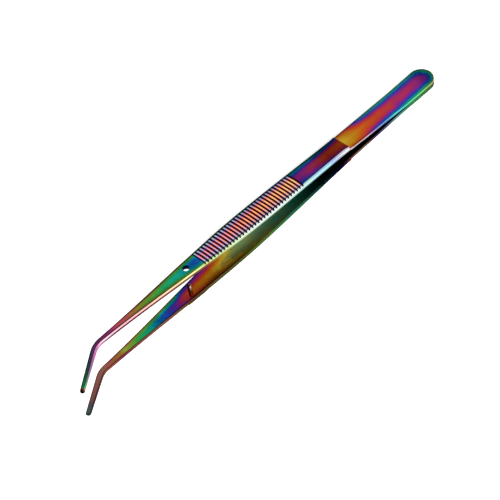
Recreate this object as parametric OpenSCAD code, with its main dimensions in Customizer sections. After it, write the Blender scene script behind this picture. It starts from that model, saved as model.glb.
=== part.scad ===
// Long spring tweezers with tips bent sideways, for planting in water.
// Two steel legs are welded at a rounded butt. Each has a thin spring leaf, a step
// up to a thicker ribbed grip, and a long taper to a bent tip. A short pin on the
// rear leg enters a hole in the front leg when the tips close, and keeps them in line.
// The tweezers lie on their side edges: +X runs from butt to tips, the legs open
// along Y with the front leg on -Y, and the tips bend up along +Z.

/* [Overall] */
// Length from the butt to the ends of the tips
overall_length = 160; // [150:1:180]
// Width of a leg at the butt
butt_w = 8.2; // [7.6:0.1:9.6]
// Width of the spring leaf just before the step
leaf_w = 7.24; // [6.4:0.02:8]
// Width just after the step
neck_w = 7; // [6:0.1:7.2]
// Width at the widest place of the grip
grip_w = 7.9; // [7.2:0.1:9]
// Width where the tips start to bend
nose_w = 1.8; // [1.4:0.1:2.4]
// Width of a tip's rounded end
tip_w = 1.5; // [1.2:0.1:1.8]

/* [Thickness] */
// Thickness of a leg at the butt
butt_t = 1.35; // [1.1:0.05:1.6]
// Thickness of the leaf just before the step
leaf_t = 1.05; // [0.8:0.05:1.1]
// Thickness of the grip
grip_t = 1.65; // [1.5:0.05:2.1]
// Thickness at the guide hole
jaw_t = 1.55; // [1.3:0.05:1.6]
// Thickness at the bend
nose_t = 1.35; // [1.1:0.05:1.5]
// Thickness at a tip's end
tip_t = 1.1; // [0.9:0.05:1.3]
// Thickness of the weld between the leaves
weld_t = 0.2; // [0.1:0.05:0.3]
// How far the rear leg's back steps in past the pin
rear_relief = 0.4; // [0.2:0.05:0.5]

/* [Lengths from the butt] */
// End of the weld, where the legs part
weld_l = 15; // [13:0.5:18]
// Place where the legs flex
flex_x = 31; // [27:0.5:34]
// Step from the leaf up to the grip
step_x = 40.8; // [38:0.2:44]
// First rib
rib_x = 62.6; // [58:0.2:66]
// Widest place of the grip
grip_x = 79; // [74:0.5:86]
// Guide pin and guide hole
pin_x = 108.7; // [107:0.1:113]

/* [Opening] */
// Slope at which each leg leaves the weld
spread = 0.0517; // [0.048:0.0001:0.06]
// Bow that takes the slope back along the leg
bow = 0.000082; // [0.00006:0.000002:0.00012]
// Slope at which the bent tips turn back towards each other
tip_toe = 0.042; // [0:0.002:0.05]

/* [Ribs] */
// Number of ribs
rib_count = 32; // [20:1:33]
// Distance between ribs
rib_pitch = 1.3; // [1:0.05:1.3]
// Depth of the grooves between the ribs
rib_depth = 0.46; // [0.2:0.02:0.5]

/* [Bent tips] */
// Angle of the bend
bend_angle = 32.6; // [20:0.2:45]
// Radius of the bend
bend_r = 7; // [5:0.5:10]
// Straight length past the bend
tip_l = 14.4; // [12:0.2:18]

/* [Guide] */
// Radius of the guide hole in the front leg
hole_r = 1.05; // [0.9:0.05:1.2]
// Radius of the guide pin
pin_r = 0.62; // [0.5:0.02:0.7]
// Height of the pin above the rear leg's inner face
pin_h = 2.56; // [2:0.02:3]

/* [Hidden] */
$fn = 48;
leg_reach = 12;      // half the height of the blanks the legs are cut from
flex_gap = 0.1;      // clearance at the flexure, so that a leg turns free of its root
step_run = 0.3;      // length over which the step climbs
butt_flat_end = 10;  // end of the parallel stretch at the butt
relief_offset = 3.4; // from the pin to the step in the rear leg's back
relief_run = 0.4;    // length over which that step falls
pin_nose = 0.18;     // chamfer on the pin's free end
pin_inset = 0.05;    // how far the pin's pressed end stays below the leg's back
crest_share = 0.36;  // share of a rib's pitch that its flat crest takes
valley_share = 0.24; // share that the groove's floor takes
fine = 2;            // spacing of the points along curved edges
tip_r = tip_w / 2;
rib_end = rib_x + (rib_count - 1) * rib_pitch;
taper_end = bend_x() + 5.5; // where the taper would level out, past the bend
far = overall_length + 20;

// Place where the bend starts, so that the tips end at the overall length
function bend_x() = overall_length - tip_r - (tip_l - tip_r) * cos(bend_angle)
    - bend_r * sin(bend_angle);
function clamp01(t) = min(1, max(0, t));
function mix(a, b, t) = a + (b - a) * clamp01(t);
function ease(a, b, t) = mix(a, b, clamp01(t) * clamp01(t) * (3 - 2 * clamp01(t)));
function share(x, from, to) = (x - from) / (to - from);

// Half the width at x, on the straight part of a leg
function half_w(x) =
    x < step_x ? mix(butt_w, leaf_w, share(x, butt_flat_end, step_x)) / 2
    : x < grip_x ? ease(neck_w, grip_w, share(x, step_x, grip_x)) / 2
    : ease(grip_w, nose_w, share(x, grip_x + 1, taper_end)) / 2;

// Distance of a leg's inner face from the middle plane at x
function inner_y(x) = weld_t / 2 + opening(min(x, bend_x())) - tip_toe * max(0, x - bend_x());
function opening(x) = spread * max(0, x - weld_l) - bow * pow(max(0, x - weld_l), 2);

// Thickness of a leg at x, between the grooves
function thick(x) =
    x < step_x ? mix(butt_t, leaf_t, share(x, 0, step_x))
    : x < pin_x ? ease(grip_t, jaw_t, share(x, rib_end - 12, pin_x))
    : x < bend_x() ? mix(jaw_t, nose_t, share(x, pin_x, bend_x()))
    : mix(nose_t, tip_t, share(x, bend_x(), overall_length));
function relief(x, depth) = depth * clamp01((x - pin_x - relief_offset) / relief_run);
function outer_y(x, depth) = inner_y(x) + thick(x) - relief(x, depth);

// Outer edge of the side profile, from the butt to the tip, as [x, y]
function leaf_edge() = [
    for (x = [0, butt_flat_end, weld_l, for (i = [weld_l + fine : fine : step_x - fine / 2]) i, step_x])
        [x, inner_y(x) + mix(butt_t, leaf_t, share(x, 0, step_x))]];
function neck_edge() = [for (x = [step_x + step_run : fine : rib_x - rib_pitch]) [x, outer_y(x, 0)]];
function rib(x) = [
    for (p = [[-crest_share, 0], [crest_share, 0], [1 - valley_share, 1], [1 + valley_share, 1]])
        [x + p[0] * rib_pitch / 2, outer_y(x, 0) - p[1] * rib_depth]];
function rib_edge() = [for (i = [0 : rib_count - 1]) each rib(rib_x + i * rib_pitch)];
function jaw_edge(depth) = [
    for (x = [rib_end + rib_pitch, pin_x, pin_x + relief_offset, pin_x + relief_offset + relief_run,
        for (i = [pin_x + 3 * fine : fine : overall_length]) i, overall_length + 1])
        [x, outer_y(x, depth)]];
function inner_edge() = [
    for (x = [overall_length + 1, for (i = [overall_length : -fine : weld_l + 1]) i, weld_l, 0])
        [x, inner_y(x)]];

// One leg's side profile in the XY plane, on the +Y side
module side_profile(depth) {
    polygon(concat(leaf_edge(), neck_edge(), rib_edge(), jaw_edge(depth), inner_edge()));
}

// Points of one long edge seen from the side, up (side = 1) or down (side = -1)
function straight_edge(side) = [for (x = [butt_w / 2, butt_flat_end, step_x, step_x + step_run,
    for (i = [step_x + fine : fine : bend_x()]) i]) [x, side * half_w(x)]];
function bend_edge(side) = [for (a = [0 : bend_angle / 8 : bend_angle])
    let (w = side * mix(half_w(bend_x()), tip_r, a / bend_angle / 2))
        [bend_x() + (bend_r - w) * sin(a), bend_r - (bend_r - w) * cos(a)]];
tip_centre = [
    bend_x() + bend_r * sin(bend_angle) + (tip_l - tip_r) * cos(bend_angle),
    bend_r * (1 - cos(bend_angle)) + (tip_l - tip_r) * sin(bend_angle)];
function tip_round() = [for (a = [-90 : 15 : 90])
    tip_centre + tip_r * [cos(a + bend_angle), sin(a + bend_angle)]];
function butt_round() = [for (a = [100 : 10 : 260]) butt_w / 2 * [1 + cos(a), sin(a)]];
function backwards(points) = [for (i = [len(points) - 1 : -1 : 0]) points[i]];

// A leg's outline seen from the side, standing on its lower edge
module plan_outline() {
    polygon(concat(straight_edge(-1), bend_edge(-1), tip_round(), backwards(bend_edge(1)),
        backwards(straight_edge(1)), butt_round()));
}

// The outline as a block that reaches across the opening
module plan_block(reach) {
    translate([0, reach, 0]) rotate([90, 0, 0]) linear_extrude(2 * reach) plan_outline();
}

// A whole leg on the +Y side, with the back stepped in by depth past the pin
module leg(depth) {
    intersection() {
        translate([0, 0, -leg_reach]) linear_extrude(2 * leg_reach + butt_w) side_profile(depth);
        plan_block(leg_reach);
    }
}

// Stands its children on a leg's inner face at the guide's place, with +Z out of the leg
module at_guide() {
    lean = atan(spread - 2 * bow * (pin_x - weld_l));
    translate([pin_x, inner_y(pin_x), 0]) rotate([0, 0, lean]) rotate([-90, 0, 0]) children();
}
module guide_bore(r) {
    at_guide() translate([0, 0, -1]) cylinder(r = r, h = jaw_t + 2);
}

// The parts of a leg on either side of the flexure
module root_side() {
    translate([-1, -leg_reach, -leg_reach]) cube([flex_x - flex_gap / 2 + 1, 2 * leg_reach, 4 * leg_reach]);
}
module tip_side() {
    translate([flex_x + flex_gap / 2, -leg_reach, -leg_reach]) cube([far, 2 * leg_reach, 4 * leg_reach]);
}

// From the butt frame to the part's own frame
module placed() {
    translate([-overall_length / 2, 0, butt_w / 2]) children();
}
module front_side() {
    placed() mirror([0, 1, 0]) children();
}

module front_leg_root() {
    color("mediumvioletred") front_side() intersection() {
        leg(0);
        root_side();
    }
}

module front_leg() {
    color("purple") front_side() difference() {
        intersection() {
            leg(0);
            tip_side();
        }
        guide_bore(hole_r);
    }
}

module rear_leg_root() {
    color("darkslategray") placed() intersection() {
        leg(rear_relief);
        root_side();
    }
}

module rear_leg() {
    color("darkgoldenrod") placed() difference() {
        intersection() {
            leg(rear_relief);
            tip_side();
        }
        guide_bore(pin_r);
    }
}

// The pin is pressed through the rear leg and stands in from its inner face
module guide_pin() {
    color("indianred") placed() at_guide() {
        translate([0, 0, pin_nose - pin_h]) cylinder(r = pin_r, h = pin_h - pin_nose + jaw_t - pin_inset);
        translate([0, 0, -pin_h]) cylinder(r1 = pin_r - pin_nose, r2 = pin_r, h = pin_nose);
    }
}

// Fused metal that joins the two leaves at the butt
module butt_weld() {
    color("seagreen") placed() intersection() {
        plan_block(weld_t / 2);
        translate([-1, -1, -leg_reach]) cube([weld_l + 1, 2, 2 * leg_reach]);
    }
}

front_leg_root();
front_leg();
rear_leg_root();
rear_leg();
guide_pin();
butt_weld();
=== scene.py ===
from collections import namedtuple
from math import atan2, cos, hypot, pi, radians, sin, sqrt

import bmesh
import bpy
from mathutils import Matrix, Vector


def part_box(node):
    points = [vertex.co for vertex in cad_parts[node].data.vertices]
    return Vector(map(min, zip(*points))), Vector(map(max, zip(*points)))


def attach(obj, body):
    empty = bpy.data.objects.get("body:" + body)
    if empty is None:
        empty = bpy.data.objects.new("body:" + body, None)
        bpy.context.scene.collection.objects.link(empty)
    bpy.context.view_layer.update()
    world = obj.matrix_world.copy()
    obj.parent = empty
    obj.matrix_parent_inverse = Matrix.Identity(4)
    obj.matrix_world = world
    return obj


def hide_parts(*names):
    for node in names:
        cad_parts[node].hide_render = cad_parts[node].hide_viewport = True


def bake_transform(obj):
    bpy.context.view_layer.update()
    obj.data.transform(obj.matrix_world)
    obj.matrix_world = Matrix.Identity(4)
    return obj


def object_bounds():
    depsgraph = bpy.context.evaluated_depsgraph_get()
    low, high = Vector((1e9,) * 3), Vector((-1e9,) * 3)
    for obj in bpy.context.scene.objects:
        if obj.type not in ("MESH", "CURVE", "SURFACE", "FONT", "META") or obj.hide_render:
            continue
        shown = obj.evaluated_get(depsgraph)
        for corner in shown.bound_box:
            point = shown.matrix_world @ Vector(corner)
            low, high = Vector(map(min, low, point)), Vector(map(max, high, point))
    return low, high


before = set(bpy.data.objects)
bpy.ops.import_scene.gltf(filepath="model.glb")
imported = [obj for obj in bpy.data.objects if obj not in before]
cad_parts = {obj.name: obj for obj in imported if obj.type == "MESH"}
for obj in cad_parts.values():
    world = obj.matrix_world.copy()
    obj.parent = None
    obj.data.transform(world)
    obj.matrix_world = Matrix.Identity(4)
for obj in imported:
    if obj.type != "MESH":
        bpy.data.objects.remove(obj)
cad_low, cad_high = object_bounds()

MM = 0.001

# ---------------------------------------------------------------- driving dimensions, in mm
# Lengths run from the butt along a leg, heights from the legs' centre line.
root_low, root_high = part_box("front_leg_root")
weld_low, weld_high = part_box("butt_weld")
LENGTH = (cad_high.x - cad_low.x) / MM
BUTT_W = (root_high.z - root_low.z) / MM
BUTT_X = cad_low.x
CENTRE_Z = (root_high.z + root_low.z) / 2
WELD_L = (weld_high.x - weld_low.x) / MM
WELD_T = (weld_high.y - weld_low.y) / MM
LEAF_W, NECK_W, GRIP_W, NOSE_W, TIP_W = 7.24, 7.0, 7.9, 1.8, 1.5
BUTT_T, LEAF_T, GRIP_T, JAW_T, NOSE_T, TIP_T = 1.35, 1.05, 1.65, 1.55, 1.35, 1.1
BUTT_FLAT_END = 10.0
STEP_X, STEP_RUN = 40.8, 0.3
GRIP_X = 79.0
RIB_X, RIB_COUNT, RIB_PITCH, RIB_DEPTH = 62.6, 32, 1.3, 0.46
RIB_END = RIB_X + (RIB_COUNT - 1) * RIB_PITCH
PIN_X, PIN_R, PIN_H, HOLE_R = 108.7, 0.62, 2.56, 1.05
RELIEF_X, RELIEF_RUN, RELIEF = PIN_X + 3.4, 0.4, 0.4
SPREAD, BOW, TIP_TOE = 0.0517, 0.000082, 0.042
BEND, BEND_R, TIP_L = radians(32.6), 7.0, 14.4
TIP_R = TIP_W / 2
BUTT_R = BUTT_W / 2
BEND_X = LENGTH - TIP_R - (TIP_L - TIP_R) * cos(BEND) - BEND_R * sin(BEND)
TAPER_END = BEND_X + 5.5
BEND_END = BEND_X + BEND_R * BEND
LEG_LENGTH = BEND_END + TIP_L

# Finish of the forgings, in mm
OUTER_ROUND = 0.14      # reach of the rounding where the outer face meets the bevel
INNER_ROUND = 0.12      # radius where the inner face meets the side
CROWN = 0.26            # how far the outer face rises between its edges at full width
SERRATION_PITCH = 0.6   # fine teeth across the inner faces at the tips
SERRATION_DEPTH = 0.07
SERRATED_FROM, SERRATED_TO = 151.0, 159.8
CORNER = 0.3            # reach of the rounding at the bevel's foot
OUTER_STEPS, INNER_STEPS = 16, 12
LATHE_STEPS = 48
BEAD_STEP = 0.4         # between sections of the weld's bead
BEAD_SUNK = 0.05        # how far the bead lies inside the rim
BEAD_RIPPLE = 0.015
BEAD_T = 0.2            # thickness that the bead's section is drawn for


# ---------------------------------------------------------------- shape of a leg
def clamp(t):
    return min(1.0, max(0.0, t))


def mix(a, b, t):
    return a + (b - a) * clamp(t)


def ease(a, b, t):
    t = clamp(t)
    return a + (b - a) * t * t * (3 - 2 * t)


def share(x, start, end):
    return (x - start) / (end - start)


def rows_along(rows, x):
    """The values at x of straight runs between rows of a place and its values."""
    if x <= rows[0][0]:
        return rows[0][1:]
    for before, after in zip(rows, rows[1:]):
        if x <= after[0]:
            t = share(x, before[0], after[0])
            return [mix(a, b, t) for a, b in zip(before[1:], after[1:])]
    return rows[-1][1:]


def along(rows, x):
    """The single value at x of rows of a place and a value."""
    return rows_along(rows, x)[0]


def side_width(s):
    """Half the width of a leg's inner face at s, before the ends are rounded."""
    if s < STEP_X:
        return mix(BUTT_W, LEAF_W, share(s, BUTT_FLAT_END, STEP_X)) / 2
    if s < GRIP_X:
        return ease(NECK_W, GRIP_W, share(s, STEP_X, GRIP_X)) / 2
    if s < BEND_X:
        return ease(GRIP_W, NOSE_W, share(s, GRIP_X + 1, TAPER_END)) / 2
    return mix(side_width(BEND_X - 1e-6), TIP_R, share(s, BEND_X, LEG_LENGTH - TIP_R))


def slant(s):
    """How much narrower, on each side, the outer face is than the inner one."""
    return along([(0, 0.08), (STEP_X, 0.2), (STEP_X + 2, 0.58), (GRIP_X, 0.56), (RIB_END - 3, 0.5),
                  (PIN_X, 0.3), (BEND_X, 0.3), (BEND_END, 0.4), (LEG_LENGTH, 0.32)], s)


def half_width(s, inset=0.0):
    """Half the width at s, with the butt and the tip rounded off, for the outline moved in by inset."""
    wide = side_width(s) - inset
    butt, tip = BUTT_R - inset, TIP_R - inset
    if s < BUTT_R:
        wide = sqrt(max(0.0, butt ** 2 - (BUTT_R - s) ** 2))
    if s > LEG_LENGTH - TIP_R:
        wide = min(wide, sqrt(max(0.0, tip ** 2 - (s - LEG_LENGTH + TIP_R) ** 2)))
    return wide


def rim_distance(s, across, inset=0.0):
    """Distance from the outline moved in by inset, as seen square on the face."""
    if s < BUTT_R:
        return max(0.0, BUTT_R - inset - hypot(BUTT_R - s, across))
    if s > LEG_LENGTH - TIP_R:
        return max(0.0, TIP_R - inset - hypot(s - LEG_LENGTH + TIP_R, across))
    return max(0.0, side_width(s) - inset - abs(across))


def inner_face(x):
    """Distance of a leg's inner face from the middle plane at x."""
    run = max(0.0, min(x, BEND_X) - WELD_L)
    return WELD_T / 2 + SPREAD * run - BOW * run * run - TIP_TOE * max(0.0, x - BEND_X)


def thickness(x):
    if x < STEP_X:
        return mix(BUTT_T, LEAF_T, share(x, 0, STEP_X))
    if x < PIN_X:
        grip = ease(GRIP_T, JAW_T, share(x, RIB_END - 12, PIN_X))
        return mix(LEAF_T, grip, share(x, STEP_X, STEP_X + STEP_RUN))
    if x < BEND_X:
        return mix(JAW_T, NOSE_T, share(x, PIN_X, BEND_X))
    return mix(NOSE_T, TIP_T, share(x, BEND_X, LENGTH))


def groove(x):
    """Depth of the rib grooves at x, as a share of their full depth."""
    if not RIB_X - RIB_PITCH < x < RIB_END + RIB_PITCH * 0.6:
        return 0.0
    turn = (x - RIB_X) / RIB_PITCH
    if turn < -0.1 or turn > RIB_COUNT - 1 + 0.1:
        return ease(1, 0, share(abs(turn + 0.5) if turn < 0 else abs(turn - RIB_COUNT + 0.5), 0.1, 0.36))
    return ease(0, 1, share(abs(turn - round(turn)), 0.15, 0.4))


def serration(s):
    """Depth of the fine teeth across the inner face at s."""
    if not SERRATED_FROM < s < SERRATED_TO:
        return 0.0
    return SERRATION_DEPTH * (1 - cos(2 * pi * (s - SERRATED_FROM) / SERRATION_PITCH)) / 2


def quarter_round(distance, radius):
    """How far an edge rounded to upright has dropped at this distance from its rim."""
    return radius - sqrt(radius ** 2 - max(0.0, radius - distance) ** 2)


def soft_round(distance, reach):
    """How far an edge rounded to half of upright has dropped at this distance from its rim."""
    return max(0.0, reach - distance) ** 2 / (2 * reach)


def flare(s):
    """How far the rear leg's upper side stands out at the bevel's foot."""
    return along([(0, 0), (BUTT_R, 0.12), (STEP_X, 0.16), (RIB_X, 0.32), (RIB_END, 0.36), (PIN_X, 0.32),
                  (RELIEF_X, 0.34), (130, 0.32), (BEND_X, 0.26), (LEG_LENGTH, 0.16)], s)


def bevel_inset(leg, s, height, whole):
    """How far inside the inner outline a leg's bevel is at this height."""
    wide = leg.flare * flare(s)
    return mix(-wide, slant(s), share(height, along(leg.belly, s) * whole, whole))


def on_side(leg, s, across, height, whole, inset):
    """Whether a point of a leg is on a side and not on the outer face."""
    if rim_distance(s, across, inset) < 1e-4:
        return True
    return abs(across) > half_width(s) - 0.01 and height < 0.99 * along(leg.belly, s) * whole


def corner(a, b, c, reach):
    """Points of a rounded corner at b, on the way from a to c."""
    def towards(end):
        far = hypot(end[0] - b[0], end[1] - b[1])
        t = min(0.45, reach / max(far, 1e-6))
        return b[0] + (end[0] - b[0]) * t, b[1] + (end[1] - b[1]) * t

    start, stop = towards(a), towards(c)
    weights = [((1 - t) ** 2, 2 * t * (1 - t), t ** 2) for t in (0, 0.25, 0.5, 0.75, 1)]
    return [(u * start[0] + v * b[0] + w * stop[0], u * start[1] + v * b[1] + w * stop[1])
            for u, v, w in weights]


def plan(s, across):
    """Place in the side view, (x, z), of the point at s along a leg and across from its centre line."""
    if s <= BEND_X:
        return s, across
    if s <= BEND_END:
        a = (s - BEND_X) / BEND_R
        return BEND_X + (BEND_R - across) * sin(a), BEND_R - (BEND_R - across) * cos(a)
    t = s - BEND_END
    return (BEND_X + BEND_R * sin(BEND) + t * cos(BEND) - across * sin(BEND),
            BEND_R * (1 - cos(BEND)) + t * sin(BEND) + across * cos(BEND))


def leg_thickness(leg, s):
    x = plan(s, 0)[0]
    return thickness(x) - leg.relief * clamp(share(x, RELIEF_X, RELIEF_X + RELIEF_RUN))


def section(leg, s):
    """Points round a leg at s, as (across, height above the inner face)."""
    whole = leg_thickness(leg, s)
    thick = whole - leg.rib_depth * groove(plan(s, 0)[0])
    inset = bevel_inset(leg, s, thick, whole)
    wide_in, wide_out = max(half_width(s), 0.02), max(half_width(s, inset), 0.01)
    foot = max(half_width(s, -leg.flare * flare(s)), wide_out + 0.005), along(leg.belly, s) * whole
    crown = CROWN * min(1.0, side_width(s) / 4) * along(CROWN_SHARE, s)
    reach = 0.8 * side_width(s)

    def outer(across):
        gap = rim_distance(s, across, inset)
        dome = (1 - clamp(gap / reach)) ** 2
        return thick - crown * dome - soft_round(gap, OUTER_ROUND)

    def inner(across):
        return quarter_round(rim_distance(s, across), INNER_ROUND) + serration(s)

    edge_out = [wide_out - min(OUTER_ROUND, wide_out * 0.45) * t for t in (0, 0.15, 0.35, 0.6, 1)]
    edge_in = [wide_in - min(INNER_ROUND, wide_in * 0.4) * t for t in (0, 0.3, 1)]
    face_out = [edge_out[-1] * (1 - 2 * k / OUTER_STEPS) for k in range(1, OUTER_STEPS)]
    face_in = [edge_in[-1] * (2 * k / INNER_STEPS - 1) for k in range(1, INNER_STEPS)]
    lower_foot = max(min(foot[0], BUTT_W / 2 - 0.02), wide_out + 0.005), foot[1]
    side, lower = (corner((wide_out, outer(wide_out)), at, (wide_in, inner(wide_in)), CORNER)
                   for at in (foot, lower_foot))
    points = [(c, outer(c)) for c in edge_out + face_out + [-c for c in reversed(edge_out)]]
    points += [(-c, h) for c, h in lower]
    points += [(c, inner(c)) for c in [-c for c in edge_in] + face_in + list(reversed(edge_in))]
    points += list(reversed(side))
    return points


CROWN_SHARE = [(0, 1.2), (STEP_X - 8, 0.8), (STEP_X, 0.35), (STEP_X + 3, 0.5), (RIB_X - 3, 0.8),
               (RIB_END, 0.8), (PIN_X, 0.6), (LEG_LENGTH, 0.6)]


def stations():
    """Places along a leg where a section is set, closer together where the shape turns."""
    found = [BUTT_R * (1 - cos(radians(a))) for a in (1.5, 4, 7, 11, 15, 20, 26, 33, 41, 50, 60, 70, 80, 90)]
    found += steps(BUTT_R, STEP_X - 0.4, 0.6)
    found += [STEP_X + d for d in (-0.25, -0.1, -0.03, 0, 0.05, 0.15, 0.25, STEP_RUN, STEP_RUN + 0.06)]
    found += steps(STEP_X + STEP_RUN + 0.2, RIB_X - RIB_PITCH * 0.9, 0.6)
    marks = (-0.5, -0.4, -0.35, -0.3, -0.25, -0.2, -0.15, 0, 0.15, 0.2, 0.25, 0.3, 0.35, 0.4)
    found += [RIB_X + (i + m) * RIB_PITCH for i in range(RIB_COUNT) for m in marks]
    found += [RIB_X - RIB_PITCH * m for m in (0.86, 0.8, 0.74, 0.68, 0.6)]
    found += [RIB_END + RIB_PITCH * m for m in (0.5, 0.6, 0.68, 0.74, 0.8, 0.86)]
    found += steps(RIB_END + RIB_PITCH, RELIEF_X - 0.3, 0.4)
    found += [RELIEF_X + RELIEF_RUN * d for d in (-0.3, 0, 0.25, 0.5, 0.75, 1, 1.3)]
    found += steps(RELIEF_X + 1, SERRATED_FROM, 0.5) + steps(SERRATED_FROM, SERRATED_TO, SERRATION_PITCH / 8)
    found += steps(SERRATED_TO, LEG_LENGTH - TIP_R, 0.3)
    found += [LEG_LENGTH - TIP_R * (1 - sin(radians(a))) for a in (0, 12, 24, 36, 48, 58, 67, 75, 82, 87)]
    return sorted(found)


def steps(start, end, size):
    count = max(1, round((end - start) / size))
    return [start + (end - start) * (k + 1) / (count + 1) for k in range(count)]


# ---------------------------------------------------------------- meshes
def to_row(x, y, z):
    return Vector((BUTT_X + x * MM, y * MM, CENTRE_Z + z * MM))


def mesh_object(name, points, faces):
    mesh = bpy.data.meshes.new(name)
    mesh.from_pydata([tuple(p) for p in points], [], faces)
    mesh.validate()
    obj = bpy.data.objects.new(name, mesh)
    bpy.context.scene.collection.objects.link(obj)
    return obj


def loft(name, rings):
    """One closed mesh through rings of the same number of points, with its ends capped."""
    count = len(rings[0])
    faces = []
    for k in range(len(rings) - 1):
        a, b = k * count, (k + 1) * count
        faces += [(a + i, a + (i + 1) % count, b + (i + 1) % count, b + i) for i in range(count)]
    last = (len(rings) - 1) * count
    faces += [tuple(range(count - 1, -1, -1)), tuple(range(last, last + count))]
    return mesh_object(name, [p for ring in rings for p in ring], faces)


def bake_modifiers(obj):
    """Replaces obj's mesh by what its modifiers make of it."""
    graph = bpy.context.evaluated_depsgraph_get()
    made = bpy.data.meshes.new_from_object(obj.evaluated_get(graph))
    obj.modifiers.clear()
    obj.data = made


def outward(obj):
    shape = bmesh.new()
    shape.from_mesh(obj.data)
    bmesh.ops.recalc_face_normals(shape, faces=shape.faces)
    shape.to_mesh(obj.data)
    shape.free()


def smooth(obj, degrees):
    obj.data.polygons.foreach_set("use_smooth", [True] * len(obj.data.polygons))
    obj.data.set_sharp_from_angle(angle=radians(degrees))


def lathe(name, outline):
    """A solid of revolution about Z from (radius, height) points."""
    angles = [2 * pi * k / LATHE_STEPS for k in range(LATHE_STEPS)]
    rings = [[(r * cos(a), r * sin(a), h) for a in angles] for r, h in outline]
    return loft(name, rings)


def guide_place(side):
    """Turns and moves a piece made about Z, in mm, to the guide's place on a leg, its Z pointing out."""
    lean = atan2(inner_face(PIN_X + 1) - inner_face(PIN_X - 1), 2)
    out = Vector((-sin(lean), side * cos(lean), 0))
    turn = out.to_track_quat("Z", "X").to_matrix().to_4x4()
    return Matrix.Translation(to_row(PIN_X, side * inner_face(PIN_X), 0)) @ turn @ Matrix.Scale(MM, 4)


def drill(leg, side, radius, bevel):
    """Cuts a round hole through the leg at the guide's place, its mouths broken by bevel."""
    deep = JAW_T
    wide = radius + 2 * bevel
    outline = [(wide, -1), (wide, -0.02), (radius + bevel, -0.02), (radius, bevel),
               (radius, deep - bevel - 0.1), (radius + bevel * 1.4, deep + 0.02), (wide, deep + 1)]
    cutter = lathe("cutter", outline)
    cutter.data.transform(guide_place(side))
    outward(cutter)
    cut = leg.modifiers.new("hole", "BOOLEAN")
    cut.operation, cut.solver, cut.object = "DIFFERENCE", "EXACT", cutter
    bake_modifiers(leg)
    bpy.data.objects.remove(cutter)


def forging(name, leg):
    """A whole leg from butt to tip on its side of the middle plane."""
    rings = []
    for s in stations():
        ring = []
        for across, height in section(leg, s):
            x, z = plan(s, across)
            ring.append(to_row(x, leg.side * (inner_face(x) + height), z))
        rings.append(ring)
    obj = loft(name, rings)
    outward(obj)
    return obj


# ---------------------------------------------------------------- film colours
# The rainbow coating is painted, not computed as a thin film. FILM lists its colours, 0 to 255, in the
# order in which they follow one another, over a number called phase. Its colours and the rows of the
# tables below were set against the coating's colours at the same places along the legs.
FILM_LOW, FILM_HIGH = -0.4, 1.75
FILM = [
    (-0.40, (8, 104, 110)), (-0.30, (16, 120, 92)), (-0.20, (84, 118, 84)), (-0.10, (116, 118, 58)),
    (-0.02, (184, 152, 36)), (0.08, (178, 112, 12)), (0.16, (190, 76, 18)), (0.24, (182, 52, 46)),
    (0.31, (160, 40, 88)), (0.38, (128, 34, 132)), (0.45, (72, 46, 158)), (0.52, (22, 60, 158)),
    (0.59, (6, 96, 160)), (0.66, (8, 134, 150)), (0.73, (18, 148, 104)), (0.80, (44, 148, 60)),
    (0.87, (100, 138, 42)), (0.94, (138, 108, 44)), (1.01, (158, 76, 62)), (1.09, (140, 42, 80)),
    (1.17, (92, 34, 88)), (1.25, (48, 44, 70)), (1.35, (14, 66, 42)), (1.60, (24, 100, 50)),
    (1.75, (170, 92, 70)),
]
# Along the outer face: place, phase at the centre, how much it gains at the lower edge and at the upper edge,
# brightness, which is partly the coating's and partly painted light and shade, and how much of it is lost at
# the edges, a painted shade
OUTER_FILM_AND_LIGHT = [
    (0, 0.56, 0.34, 0.4, 0.3, 0), (3, 0.4, 0.46, 0.45, 0.3, 0), (5, 0.33, 0.56, 0.54, 0.42, 0),
    (7, 0.31, 0.58, 0.56, 0.6, 0), (10, 0.3, 0.57, 0.56, 0.65, 0), (14, 0.29, 0.56, 0.48, 0.72, 0),
    (18, 0.28, 0.58, 0.43, 0.68, 0), (22, 0.25, 0.64, 0.39, 0.7, 0), (26, 0.2, 0.66, 0.37, 0.64, 0.1),
    (30, 0.15, 0.65, 0.3, 0.7, 0.1), (34, 0.1, 0.28, 0.12, 0.75, 0.25), (37, 0.06, 0.15, 0.1, 0.72, 0.25),
    (STEP_X - 0.1, -0.02, 0.2, 0.18, 0.75, 0.2), (STEP_X + 0.3, 0.17, 0.5, 0.2, 0.28, 0.3),
    (45, 0.19, 0.62, 0.2, 0.25, 0.3), (48, 0.2, 0.64, 0.28, 0.22, 0.3), (51, 0.24, 0.64, 0.28, 0.32, 0.3),
    (54, 0.3, 0.54, 0.24, 0.44, 0.2), (57, 0.34, 0.46, 0.22, 0.5, 0.2),
    (RIB_X - 0.8, 0.37, 0.42, 0.26, 0.42, 0.2), (RIB_END + 1, 0.57, 0.42, 0.3, 0.7, 0.3),
    (107, 0.56, 0.46, 0.36, 0.5, 0.3), (112, 0.69, 0.34, 0.26, 0.8, 0.6), (115, 0.73, 0.3, 0.22, 0.85, 0.8),
    (118, 0.76, 0.3, 0.2, 0.75, 0.8), (121, 0.81, 0.27, 0.16, 0.8, 0.8), (124, 0.85, 0.24, 0.1, 0.68, 0.8),
    (127, 0.9, 0.22, 0.06, 0.7, 0.7), (130, 0.96, 0.2, 0.04, 0.74, 0.6),
    (133, 1.01, 0.14, 0, 0.8, 0.4), (136, 1.05, 0.12, 0, 0.82, 0.3), (139, 1.09, 0.1, -0.04, 0.9, 0.1),
    (142, 1.13, 0.1, -0.06, 0.68, 0), (145, 1.18, 0.1, -0.1, 0.6, 0), (149, 1.22, 0.1, -0.12, 0.95, 0),
    (151, 1.26, 0.08, -0.14, 0.8, 0), (155, 1.34, 0, -0.06, 0.8, 0), (159, 1.45, 0, 0, 1, 0),
    (LEG_LENGTH - 1.4, 1.55, 0, 0, 0.9, 0), (LEG_LENGTH - 0.7, 1.75, 0, 0, 0.05, 0),
]
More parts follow.
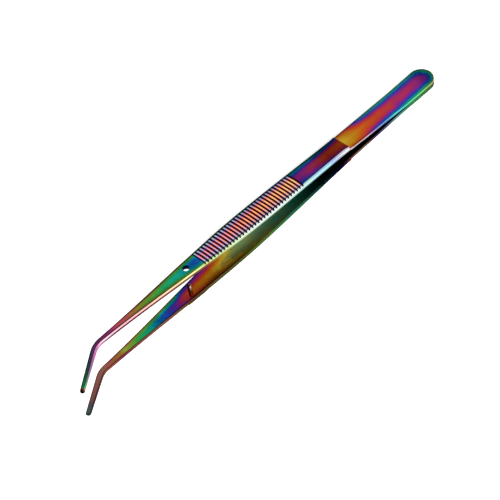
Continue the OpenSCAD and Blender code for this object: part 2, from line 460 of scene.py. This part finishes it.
# The crests of the ribs: place, phase at the centre, gain at the lower and the upper end, and paleness, a
# painted highlight
CREST_FILM_AND_LIGHT = [
    (RIB_X - 1, 0.04, 0.75, 0.32, 0.42), (72, 0.03, 0.75, 0.3, 0.4), (80, 0.08, 0.85, 0.28, 0.38),
    (88, 0.18, 0.78, 0.24, 0.43), (96, 0.26, 0.68, 0.24, 0.45), (RIB_END + 1, 0.3, 0.7, 0.22, 0.44),
]
# Along the side bands, from the inner rim to the outer rim of each leg: place, phase and paleness at the
# inner rim, phase and paleness at the outer rim, and brightness; paleness and brightness paint the bands'
# highlights and shade
FRONT_SIDE_FILM_AND_LIGHT = [
    (0, 1, 0.1, 1, 0.1, 0.7), (1.5, 0.99, 0.2, 0.99, 0.3, 0.9), (3, 0.96, 0.4, 0.97, 0.45, 1.8),
    (5, 0.87, 0.3, 0.87, 0.45, 1.5), (8, 0.8, 0.25, 0.8, 0.48, 2.2), (12, 0.76, 0.25, 0.75, 0.42, 2.2),
    (16, 0.71, 0.2, 0.71, 0.35, 2.1), (20, 0.67, 0.25, 0.67, 0.35, 2.4), (24, 0.6, 0.3, 0.6, 0.35, 1.9),
    (28, 0.54, 0.6, 0.54, 0.3, 1.6), (32, 0.36, 0.95, 0.34, 0.05, 1), (36, 0.2, 1, 0.18, 0, 0.6),
    (39, 0.2, 1, 0.2, 0.1, 0.65), (42, 0.33, 0.95, 0.38, 0.9, 1), (45, 0.48, 0.75, 0.52, 0.9, 1.4),
    (49, 0.63, 0.6, 0.64, 0.7, 3), (56, 0.66, 0.7, 0.67, 0.75, 3), (64, 0.7, 0.8, 0.72, 0.92, 3),
    (75, 0.76, 0.9, 0.78, 0.98, 3), (83, 0.84, 0.88, 0.84, 0.95, 3), (90, 0.88, 0.75, 0.88, 0.8, 3.6),
    (95, 0.89, 0.4, 0.89, 0.74, 3), (100, 0.92, 0.15, 0.9, 0.7, 1.8), (104, 0.96, 0, 0.89, 0.66, 0.9),
    (108, 0.98, 0, 0.91, 0.64, 0.75), (114, 0.99, 0, 0.93, 0.64, 0.55), (120, 1.01, 0, 0.96, 0.68, 0.55),
    (125, 1.03, 0, 1, 0.7, 0.5), (130, 1.06, 0, 1.03, 0.7, 0.45), (135, 1.09, 0, 1.08, 0.72, 0.45),
    (140, 1.1, 0, 1.12, 0.8, 0.5), (143, 1.09, 0.3, 1.13, 0.8, 1.4), (146.5, 1.15, 0.4, 1.15, 0.52, 5.5),
    (150, 1.14, 0.3, 1.14, 0.4, 4.5), (152, 1.16, 0.4, 1.16, 0.4, 3.5), (154, 1.18, 0.4, 1.18, 0.45, 2.6),
    (156, 1.2, 0.6, 1.2, 0.45, 2), (158, 1.26, 0.7, 1.26, 0.5, 2), (159.5, 1.42, 0.65, 1.42, 0.42, 4.5),
    (LEG_LENGTH - 1.7, 1.55, 0.4, 1.55, 0.3, 5), (LEG_LENGTH - 1.2, 1.75, 0.7, 1.75, 0.6, 1.4),
    (LEG_LENGTH - 0.6, 1.75, 0.3, 1.75, 0.3, 0.5), (LEG_LENGTH - 0.2, 1.75, 0, 1.75, 0, 0.05),
]
REAR_SIDE_FILM_AND_LIGHT = [
    (0, 0.95, 0.1, 0.95, 0.1, 0.45), (5, 0.84, 0.1, 0.84, 0.05, 0.45), (10, 0.76, 0.1, 0.76, 0, 0.6),
    (15, 0.73, 0.15, 0.73, 0.05, 0.7), (20, 0.68, 0.3, 0.68, 0.35, 0.7), (25, 0.56, 0.25, 0.56, 0.38, 0.3),
    (30, 0.42, 0.1, 0.42, 0.3, 0.2), (35, 0.08, 0.28, 0.06, 0.42, 0.12), (40, 0.16, 0.2, 0.16, 0.32, 0.22),
    (45, 0.42, 0, 0.45, 0.25, 0.06), (50, 0.6, 0, 0.6, 0.4, 0.05), (55, 0.68, 0, 0.68, 0.44, 0.08),
    (60, 0.72, 0, 0.72, 0.48, 0.2), (65, 0.74, 0, 0.74, 0.46, 0.32), (70, 0.77, 0, 0.77, 0.42, 0.4),
    (76, 0.82, 0, 0.81, 0.42, 0.45), (82, 0.87, 0, 0.86, 0.42, 0.4), (90, 0.91, 0, 0.9, 0.32, 0.32),
    (96, 0.92, 0, 0.92, 0.22, 0.3), (102, 0.95, 0, 0.94, 0.18, 0.32), (108, 0.96, 0, 0.94, 0.18, 0.26),
    (RELIEF_X, 0.97, 0, 0.95, 0.15, 0.26), (RELIEF_X + 1, 0.99, 0.1, 0.98, 0.1, 0.32),
    (118, 1, 0.15, 0.99, 0.1, 0.42), (124, 1.02, 0.2, 1.01, 0.1, 0.45), (130, 1.03, 0.15, 1.03, 0.1, 0.5),
    (138, 1.06, 0.05, 1.07, 0.05, 0.6), (142, 1.04, 0.1, 1.06, 0.1, 0.7), (146, 1.01, 0.05, 1.01, 0, 0.75),
    (150, 1.02, 0, 1.02, 0, 0.62), (154, 1.03, 0, 1.03, 0, 0.55), (158, 1.02, 0, 1.02, 0, 0.3),
    (160, 1.34, 0, 1.34, 0, 0.4), (LEG_LENGTH, 1.4, 0, 1.4, 0, 0.3),
]
# Along the inner face, with the same columns as the outer face's table; its brightness is painted light and
# shade, near black towards the butt, where the legs shade each other, and brighter where the gap between them
# opens
INNER_FILM_AND_LIGHT = [
    (0, -0.4, 0, 0, 0.05, 0), (45, -0.4, 0, 0, 0.06, 0), (52, -0.38, 0, 0, 0.12, 0),
    (58, -0.33, 0, 0, 0.3, 0), (65, -0.29, 0, 0.04, 0.75, 0), (70, -0.24, 0, 0.06, 0.95, 0),
    (75, -0.22, 0, 0.12, 1, 0),
    (80, -0.19, 0, 0.2, 1.2, 0.3), (85, -0.16, 0, 0.22, 1.6, 0.7), (90, -0.12, 0.08, 0.22, 1.3, 0.75),
    (95, -0.06, 0.3, 0.2, 0.9, 0.6), (100, 0.05, 0.45, 0.16, 0.6, 0.3), (104, 0.09, 0.43, 0.16, 0.58, 0.2),
    (108, 0.12, 0.42, 0.14, 0.5, 0.2), (110, 0.17, 0.45, 0.16, 0.52, 0.2), (112, 0.24, 0.52, 0.12, 0.52, 0.1),
    (114, 0.36, 0.6, 0.06, 0.5, 0), (116, 0.45, 0.4, 0.02, 0.52, 0), (118, 0.48, 0.45, 0, 0.56, 0),
    (120, 0.52, 0.48, 0, 0.8, 0), (122, 0.59, 0.38, 0, 0.5, 0), (124, 0.65, 0.36, 0.04, 0.54, 0),
    (126, 0.72, 0.24, 0.04, 0.68, 0), (128, 0.77, 0.22, 0.04, 0.75, 0.1), (132, 0.82, 0.16, 0.02, 0.8, 0.1),
    (134, 0.845, 0.16, 0.02, 0.85, 0.1), (136.5, 0.87, 0.14, 0.06, 1.1, 0.2), (138, 0.93, 0.1, 0.06, 0.72, 0),
    (140, 0.96, 0.06, 0.04, 0.65, 0), (143, 0.99, 0.04, 0.02, 0.62, 0), (146, 1, 0.02, 0.02, 0.46, 0),
    (150, 1, 0.02, 0.02, 0.42, 0), (154, 1.01, 0.02, 0, 0.34, 0), (157, 1.03, 0, 0, 0.28, 0),
    (159, 1.28, 0, 0, 0.5, 0), (161, 1.34, 0, 0, 0.8, 0), (LEG_LENGTH - 0.8, 1.36, 0, 0, 0.6, 0),
    (LEG_LENGTH, 1.4, 0, 0, 0.3, 0),
]
OUTLINE = 0.65          # width of the dark line of painted shade along the faces' lower edges
RIM_LINE = 0.12         # width of the one along their upper edges
LINE_SHADE = 0.95       # how much of the brightness these painted shade lines take away
GROOVE_SHADE = 0.9      # how much of it a groove takes from the bevel and from the face at the ribs' ends, as painted shade
CREST_TONE, GROOVE_TONE = 1.6, 0.1          # brightness of the ribs' crests, lit as a painted highlight, and of the grooves, dark as painted shade
CREST_LEAN, CREST_PALE_LEAN = 0.7, 0.6      # gain of phase and of paleness across one crest; the paleness is a painted highlight
CREST_END_SHADE, CREST_END_PALE = 0.8, 0.25     # painted shade and painted highlight: darkening and paling of the crests at their ends
CREST_LINE, CREST_LINE_WIDTH = 0.7, 0.35    # strength and width of the dark line of painted shade at their upper ends
GROOVE_PHASE, GROOVE_END_PHASE = 0.22, 0.3  # the grooves' phase, and its gain at their ends
GROOVE_REACH = 1.75                         # how soon a groove's depth counts as fully dark
LOWER_SIDE_TONE = (0.4, 0.05)               # share of the brightness left on the lower sides, in and out: painted shade on the sides facing the floor
INNER_BAND_FRONT, INNER_BAND_REAR = 0.3, 0.9    # how far up its rounding the inner face's film goes
PIN_TONE_DARK, PIN_TONE_BRIGHT = 0.01, 3.0      # brightness of the pin's two flanks: painted shade on one, a painted highlight on the other
PIN_FOOT_DARK, PIN_FOOT_BRIGHT = 0.35, 0.8      # and of the same flanks at its foot, painted as the pin's reflection in the inner face


def edge_line(across, gap, wide):
    """How strongly the dark line of painted shade along an edge shows."""
    line = mix(OUTLINE, RIM_LINE, share(across, -0.5, 2))
    return 1 - clamp(gap / min(line, 0.5 * wide + 0.01)) ** 2


def face_film_and_light(rows, s, across, gap, wide, power):
    """Phase and brightness on a flat face, gap from its outline, with both edges drawn darker as painted
    shade.
    """
    phase, gain_low, gain_high, tone, shade = rows_along(rows, s)
    edge = 1 - clamp(gap / max(wide, 0.1))
    phase += gain_low * edge ** power if across < 0 else gain_high * edge ** 3
    return phase, tone * (1 - shade * edge ** 1.5) * (1 - LINE_SHADE * edge_line(across, gap, wide))


def crest_film_and_light(s, across, gap, wide, cut):
    """Phase, brightness and paleness on the ribs: grooves darkened with painted shade, and crests paler on
    their tip side, a painted highlight.
    """
    phase, gain_low, gain_high, pale = rows_along(CREST_FILM_AND_LIGHT, s)
    edge = (1 - clamp(gap / wide)) ** 2
    turn = (plan(s, 0)[0] - RIB_X) / RIB_PITCH
    lean = turn - round(turn)
    phase += (gain_low if across < 0 else gain_high) * edge + CREST_LEAN * lean
    pale += CREST_PALE_LEAN * lean
    dark = clamp(cut * GROOVE_REACH)
    if across < 0:
        line = edge_line(across, gap, wide)
    else:
        line = CREST_LINE * (1 - clamp(gap / CREST_LINE_WIDTH) ** 2)
    tone = mix(CREST_TONE * (1 - CREST_END_SHADE * edge), GROOVE_TONE, dark) * (1 - LINE_SHADE * line)
    phase = mix(phase, GROOVE_PHASE + GROOVE_END_PHASE * edge, dark)
    return phase, tone, mix(pale + CREST_END_PALE * edge, 0, dark) * (1 - line)


def side_film(leg, s, across, height, whole, cut):
    """Phase, brightness and paleness on a leg's side, which change over near the foot of the bevel; the
    brighter outer part is a painted highlight, the lower sides and the grooves' notches get painted shade.
    """
    phase_in, pale_in, phase_out, pale_out, tone = rows_along(leg.side_film, s)
    foot = along(leg.belly, s) * whole
    lift, start = rows_along(leg.lift, s)
    rise = ease(0, 1, share(height, start * foot, 1.15 * foot))
    tone *= mix(1, lift, rise)
    tone *= 1 - GROOVE_SHADE * cut * clamp(share(height, 0.97 * foot, 1.1 * foot))
    phase = mix(phase_in, phase_out, rise)
    if across < 0:
        return phase, min(1.0, tone) * mix(*LOWER_SIDE_TONE, rise), 0.0
    return phase, tone, mix(pale_in, pale_out, rise)


def film_and_light_at(leg, s, across, height):
    """The film's phase, brightness and paleness, which carry painted light and shade, and mattness at a point
    of a leg.
    """
    if height < INNER_ROUND * (INNER_BAND_REAR if leg.side > 0 else INNER_BAND_FRONT):
        phase, tone = face_film_and_light(INNER_FILM_AND_LIGHT, s, across, rim_distance(s, across), side_width(s), 1.0)
        return phase, tone, 0.2 * clamp(share(s, 139, 145)), 1 - clamp(share(s, 80, 104))
    cut = groove(plan(s, 0)[0])
    whole = leg_thickness(leg, s)
    inset = bevel_inset(leg, s, whole - leg.rib_depth * cut, whole)
    gap = rim_distance(s, across, inset)
    if on_side(leg, s, across, height, whole, inset):
        return *side_film(leg, s, across, height, whole, cut), 0.0
    wide = side_width(s) - inset
    if RIB_X - 0.6 * RIB_PITCH < s < RIB_END + 0.5 * RIB_PITCH:
        return *crest_film_and_light(s, across, gap, wide, cut), 0.0
    phase, tone = face_film_and_light(OUTER_FILM_AND_LIGHT, s, across, gap, wide, 1.7)
    return phase, tone * (1 - GROOVE_SHADE * cut), 0.0, 0.0


def leg_coordinates(point, side):
    """s, across and height above the inner face of a point of a leg, the reverse of plan."""
    x, z = (point.x - BUTT_X) / MM, (point.z - CENTRE_Z) / MM
    height = side * point.y / MM - inner_face(x)
    if x <= BEND_X:
        return x, z, height
    angle = atan2(x - BEND_X, BEND_R - z)
    if angle <= BEND:
        return BEND_X + BEND_R * angle, BEND_R - hypot(x - BEND_X, BEND_R - z), height
    dx, dz = x - BEND_X - BEND_R * sin(BEND), z - BEND_R * (1 - cos(BEND))
    return BEND_END + dx * cos(BEND) + dz * sin(BEND), dz * cos(BEND) - dx * sin(BEND), height


def lay_film(obj, film):
    """Stores what film gives for each of the piece's points, for its material to read."""
    values = [film(vertex) for vertex in obj.data.vertices]
    for column, name in enumerate(("film", "tone", "pale", "matt")):
        layer = obj.data.attributes.new(name, "FLOAT", "POINT")
        layer.data.foreach_set("value", [row[column] for row in values])


# ---------------------------------------------------------------- materials
# The near-white that a point's paleness mixes in, a painted highlight
PAINTED_HIGHLIGHT_WHITE = (0.94, 0.95, 0.94, 1)


def linear(rgb):
    """A colour given as 0 to 255 on a screen, in the linear values that shaders use."""
    return [((c / 255 + 0.055) / 1.055) ** 2.4 if c > 10 else c / 255 / 12.92 for c in rgb] + [1.0]


class Nodes:
    """A short way to write a material's nodes."""

    def __init__(self, name):
        self.material = bpy.data.materials.new(name)
        self.material.use_nodes = True
        self.tree = self.material.node_tree
        self.shader = self.tree.nodes["Principled BSDF"]

    def add(self, kind, **values):
        node = self.tree.nodes.new(kind)
        for key, value in values.items():
            setattr(node, key, value)
        return node

    def put(self, socket, value):
        if hasattr(value, "is_output"):
            self.tree.links.new(value, socket)
        else:
            socket.default_value = value

    def math(self, operation, a, b=0.0, c=0.0):
        node = self.add("ShaderNodeMath", operation=operation)
        for socket, value in zip(node.inputs, (a, b, c)):
            self.put(socket, value)
        return node.outputs[0]

    def attribute(self, name):
        return self.add("ShaderNodeAttribute", attribute_name=name).outputs["Fac"]

    def noise(self, scale, stretch, detail=3.0):
        """Noise in the row frame, in cycles per mm, drawn out along X by stretch."""
        place = self.add("ShaderNodeTexCoord").outputs["Object"]
        mapping = self.add("ShaderNodeMapping")
        self.put(mapping.inputs["Vector"], place)
        mapping.inputs["Scale"].default_value = (1000 * scale / stretch, 1000 * scale, 1000 * scale)
        node = self.add("ShaderNodeTexNoise")
        self.put(node.inputs["Vector"], mapping.outputs[0])
        for key, value in (("Scale", 1.0), ("Detail", detail), ("Roughness", 0.5)):
            node.inputs[key].default_value = value
        return node.outputs["Fac"]

    def ramp(self, factor, stops):
        node = self.add("ShaderNodeValToRGB")
        node.color_ramp.interpolation = "LINEAR"
        self.put(node.inputs[0], factor)
        elements = node.color_ramp.elements
        while len(elements) < len(stops):
            elements.new(0.5)
        for element, (place, colour) in zip(elements, stops):
            element.position, element.color = place, colour
        return node.outputs["Color"]

    def grey(self, value):
        node = self.add("ShaderNodeCombineColor")
        for socket in node.inputs:
            self.put(socket, value)
        return node.outputs[0]

    def mix_colour(self, factor, a, b, mode="MIX"):
        node = self.add("ShaderNodeMix", data_type="RGBA", blend_type=mode, clamp_result=True)
        for socket, value in zip((node.inputs[0], node.inputs[6], node.inputs[7]), (factor, a, b)):
            self.put(socket, value)
        return node.outputs[2]

    def spread(self, noise, amount, base):
        """base, moved up and down by noise over a range of amount."""
        return self.math("MULTIPLY_ADD", self.math("SUBTRACT", noise, 0.5), amount, base)

    def bump(self, height, distance):
        node = self.add("ShaderNodeBump")
        node.inputs["Strength"].default_value = 1.0
        node.inputs["Distance"].default_value = distance
        self.put(node.inputs["Height"], height)
        self.put(self.shader.inputs["Normal"], node.outputs[0])


def film_colour(nodes, phase):
    span = FILM_HIGH - FILM_LOW
    place = nodes.math("MULTIPLY_ADD", phase, 1 / span, -FILM_LOW / span)
    return nodes.ramp(place, [((p - FILM_LOW) / span, linear(c)) for p, c in FILM])


def film_metal(name, base_roughness, brushed):
    """Polished steel with the rainbow coating, painted by the film values that the mesh carries, whose
    brightness and paleness paint in light and shade.
    """
    nodes = Nodes(name)
    shader = nodes.shader
    streaks = nodes.noise(3.0, 26)
    mottle = nodes.noise(0.35, 1.6)
    specks = nodes.noise(1.6, 1.4, detail=2.0)
    phase = nodes.spread(mottle, 0.16, nodes.attribute("film"))
    phase = nodes.spread(streaks, 0.07, phase)
    phase = nodes.spread(specks, 0.1, phase)
    colour = film_colour(nodes, phase)
    tone = nodes.spread(specks, 0.25, nodes.attribute("tone"))
    toned = nodes.mix_colour(1.0, colour, nodes.grey(tone), "MULTIPLY")
    pale = nodes.mix_colour(nodes.math("POWER", nodes.attribute("pale"), 2.2), toned, PAINTED_HIGHLIGHT_WHITE)
    nodes.put(shader.inputs["Base Color"], pale)
    shader.inputs["Metallic"].default_value = 1.0
    # The painted brightness also tints the metal's edge colour, so painted shade darkens it there too
    nodes.put(shader.inputs["Specular Tint"], nodes.grey(nodes.math("MULTIPLY", tone, 1.6)))
    roughness = nodes.spread(streaks, 0.16, base_roughness)
    roughness = nodes.math("MULTIPLY_ADD", nodes.attribute("matt"), 0.22, roughness)
    nodes.put(shader.inputs["Roughness"], roughness)
    nodes.bump(streaks, brushed)
    return nodes.material


def plain_film(name, phases, tone, roughness, bump_scale):
    """The same steel on a small piece, its film patched by noise between two phases."""
    nodes = Nodes(name)
    patches = nodes.noise(0.8, 1.0)
    low, high = phases
    colour = film_colour(nodes, nodes.math("MULTIPLY_ADD", patches, high - low, low))
    shaded = nodes.mix_colour(1.0, colour, (tone, tone, tone, 1), "MULTIPLY")
    nodes.put(nodes.shader.inputs["Base Color"], shaded)
    nodes.shader.inputs["Metallic"].default_value = 1.0
    nodes.put(nodes.shader.inputs["Roughness"], nodes.math("MULTIPLY_ADD", patches, 0.1, roughness))
    nodes.bump(nodes.noise(bump_scale, 1.0), 0.00002)
    return nodes.material


# ---------------------------------------------------------------- pieces
def guide_pin():
    """Round pin with a domed nose, a collar of squeezed metal at its foot and a peened end at the back."""
    foot, nose = 0.1, 0.3
    outline = [(0.02, -PIN_H)]
    outline += [(PIN_R - nose * (1 - sin(a)), -PIN_H + 0.6 * nose * (1 - cos(a))) for a in quarter(6)]
    outline += [(PIN_R, -0.5)]
    outline += [(PIN_R + foot * (1 - cos(a)), -foot * (1 - sin(a)) - 0.01) for a in quarter(5)]
    outline += [(PIN_R + foot, 0.1), (PIN_R, 0.14), (PIN_R, JAW_T - 0.16), (PIN_R - 0.08, JAW_T - 0.1)]
    outline += [(0.02, JAW_T - 0.05)]
    obj = lathe("guide_pin_turned", outline)
    obj.data.transform(guide_place(1))
    outward(obj)
    smooth(obj, 40)
    lay_film(obj, pin_film_and_light)
    obj.data.materials.append(film_metal("pin_steel", 0.4, 0.00001))
    return obj


def pin_film_and_light(vertex):
    """The pin's film with painted light: pale with a painted highlight on the flank towards the butt, dark
    with painted shade on the other and on its nose, red-brown at the foot as a painted reflection in the
    inner face.
    """
    flank = clamp(0.2 + 1.1 * (vertex.normal.z - vertex.normal.x))
    nose = clamp(-1.6 * vertex.normal.y - 0.3)
    foot = clamp(share(inner_face(PIN_X) - vertex.co.y / MM, 0.6, 0.2))
    dark, bright = mix(PIN_TONE_DARK, PIN_FOOT_DARK, foot), mix(PIN_TONE_BRIGHT, PIN_FOOT_BRIGHT, foot)
    pale = 0.85 * flank * (1 - 0.6 * nose) * (1 - foot)
    return mix(1.0, 0.92, flank), mix(dark, bright, flank) * (1 - 0.5 * nose), pale, 0.0


def quarter(count):
    return [pi / 2 * k / count for k in range(count + 1)]


def weld_bead():
    """Fused metal along the rim where the two leaves meet, ground nearly flush, with faint ripples."""
    path = [WELD_L - k * BEAD_STEP for k in range(int((WELD_L - BUTT_R) / BEAD_STEP) + 1)]
    turn = [pi * k / 60 for k in range(61)]
    route = [(s, -side_width(s)) for s in path]
    route += [(BUTT_R - BUTT_R * sin(a), -BUTT_R * cos(a)) for a in turn]
    route += [(s, side_width(s)) for s in reversed(path)]
    rings = []
    for k, (x, z) in enumerate(route):
        before, after = route[max(0, k - 1)], route[min(len(route) - 1, k + 1)]
        run = Vector((after[0] - before[0], 0, after[1] - before[1])).normalized()
        out = Vector((-run.z, 0, run.x))
        proud = -BEAD_SUNK + BEAD_RIPPLE * sin(k * 1.3)
        shape = [(-0.5, -0.1), (-0.12, -0.1), (-0.03, -0.08), (0.0, -0.04), (0.01, 0.0), (0.0, 0.04),
                 (-0.03, 0.08), (-0.12, 0.1), (-0.5, 0.1)]
        ring = []
        for outwards, sideways in shape:
            at = Vector((x, 0, z)) + out * (outwards + proud)
            ring.append(to_row(at.x, sideways * WELD_T / BEAD_T, at.z))
        rings.append(ring)
    obj = loft("butt_weld_bead", rings)
    outward(obj)
    smooth(obj, 40)
    obj.data.materials.append(plain_film("weld_film", (0.7, 0.86), 0.5, 0.28, 2.0))
    return obj


def paint_bore(obj, side, radius, material):
    """Gives the walls of the guide's hole their own film, darkened there as painted shade."""
    obj.data.materials.append(material)
    inverse = guide_place(side).inverted()
    for face in obj.data.polygons:
        spots = [inverse @ obj.data.vertices[i].co for i in face.vertices]
        if all(hypot(spot.x, spot.y) < radius + 0.01 and spot.z > -0.1 for spot in spots):
            face.material_index = len(obj.data.materials) - 1


def flexing_leg(leg, hole, bevel, material, bore):
    obj = forging(leg.body + "_forged", leg)
    drill(obj, leg.side, hole, bevel)
    lay_film(obj, lambda vertex: film_and_light_at(leg, *leg_coordinates(vertex.co, leg.side)))
    smooth(obj, 32)
    obj.data.materials.append(material)
    paint_bore(obj, leg.side, hole + bevel, bore)
    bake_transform(obj)
    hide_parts(leg.body, leg.body + "_root")


# ---------------------------------------------------------------- stage, light and camera
FLOOR_GLOW = 0.65       # light of the floor's own, which keeps it white
SKY_STRENGTH = 0.76
# The camera, as fitted to the object's outline: its lens in mm, its place in metres, and the directions of
# its right and of its back
LENS = 175.5
CAMERA_PLACE = (0.31645, -0.53405, 0.38342)
CAMERA_RIGHT = (-0.68257, 0.11136, 0.72228)
CAMERA_BACK = (0.4272, -0.74108, 0.51797)


def floor_and_sky():
    size = 3.0
    obj = mesh_object("floor", [(-size, -size, 0), (size, -size, 0), (size, size, 0), (-size, size, 0)],
                      [(0, 1, 2, 3)])
    nodes = Nodes("paper")
    nodes.shader.inputs["Base Color"].default_value = (0.93, 0.93, 0.93, 1)
    nodes.shader.inputs["Roughness"].default_value = 0.9
    nodes.shader.inputs["Emission Color"].default_value = (1, 1, 1, 1)
    nodes.shader.inputs["Emission Strength"].default_value = FLOOR_GLOW
    obj.data.materials.append(nodes.material)
    world = bpy.data.worlds.new("studio")
    world.use_nodes = True
    world.node_tree.nodes["Background"].inputs["Color"].default_value = (1, 1, 1, 1)
    world.node_tree.nodes["Background"].inputs["Strength"].default_value = SKY_STRENGTH
    bpy.context.scene.world = world


def softbox(name, place, size, power):
    """A soft square lamp at place, in metres, that looks at the origin, where the tweezers lie."""
    lamp = bpy.data.lights.new(name, "AREA")
    lamp.shape, lamp.size, lamp.energy = "SQUARE", size, power
    obj = bpy.data.objects.new(name, lamp)
    obj.location = place
    obj.rotation_euler = (-Vector(place)).to_track_quat("-Z", "Y").to_euler()
    bpy.context.scene.collection.objects.link(obj)


def camera():
    """The camera is rolled, so it is set by the directions of its right, up and back."""
    data = bpy.data.cameras.new("camera")
    data.sensor_width, data.lens = 36.0, LENS
    data.clip_start, data.clip_end = 0.01, 10
    obj = bpy.data.objects.new("camera", data)
    right = Vector(CAMERA_RIGHT).normalized()
    back = Vector(CAMERA_BACK).normalized()
    up = back.cross(right).normalized()
    right = up.cross(back)
    turn = Matrix((right, up, back)).transposed().to_4x4()
    obj.matrix_world = Matrix.Translation(CAMERA_PLACE) @ turn
    bpy.context.scene.collection.objects.link(obj)
    bpy.context.scene.camera = obj
    bpy.context.scene.view_settings.view_transform = "Standard"


camera()
steel = film_metal("rainbow_steel", 0.2, 0.000015)
# A dark film for the walls of the guide's hole: painted shade inside it
bore = plain_film("bore_film", (0.46, 0.6), 0.12, 0.3, 2.0)
# Height of the bevel's foot as a share of the thickness, along each leg
FRONT_BELLY = [(0, 0.62), (LEG_LENGTH, 0.62)]
REAR_BELLY = [(0, 0.84), (STEP_X, 0.84), (RIB_X - 1, 0.66), (RIB_END + 1, 0.66), (RIB_END + 3, 0.86),
              (LEG_LENGTH, 0.86)]
# Along each leg: how many times brighter the side's outer part is than its inner part, a painted highlight,
# and where that starts, as a share of the height of the bevel's foot
FRONT_LIFT = [(0, 1, 0.5), (98, 1, 0.5), (106, 5, 0.7), (112, 7, 0.8), (138, 7, 0.8), (143, 1.5, 0.5),
              (147, 1, 0.5), (LEG_LENGTH, 1, 0.5)]
REAR_LIFT = [(0, 1, 0.45), (LEG_LENGTH, 1, 0.45)]
Leg = namedtuple("Leg", "body side relief flare rib_depth belly side_film lift")
front_leg = Leg("front_leg", -1, 0.0, 0.0, RIB_DEPTH, FRONT_BELLY, FRONT_SIDE_FILM_AND_LIGHT, FRONT_LIFT)
rear_leg = Leg("rear_leg", 1, RELIEF, 1.0, 0.6 * RIB_DEPTH, REAR_BELLY, REAR_SIDE_FILM_AND_LIGHT, REAR_LIFT)
flexing_leg(front_leg, HOLE_R, 0.06, steel, bore)
flexing_leg(rear_leg, PIN_R + 0.02, 0.03, steel, bore)
pin = guide_pin()
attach(pin, "rear_leg")
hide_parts("guide_pin")
bead = weld_bead()
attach(bead, "butt")
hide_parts("butt_weld")
floor_and_sky()
softbox("key", (-0.7, 0.3, 1.6), 1.6, 6)
softbox("fill", (0.4, -1.3, 0.8), 1.2, 4)
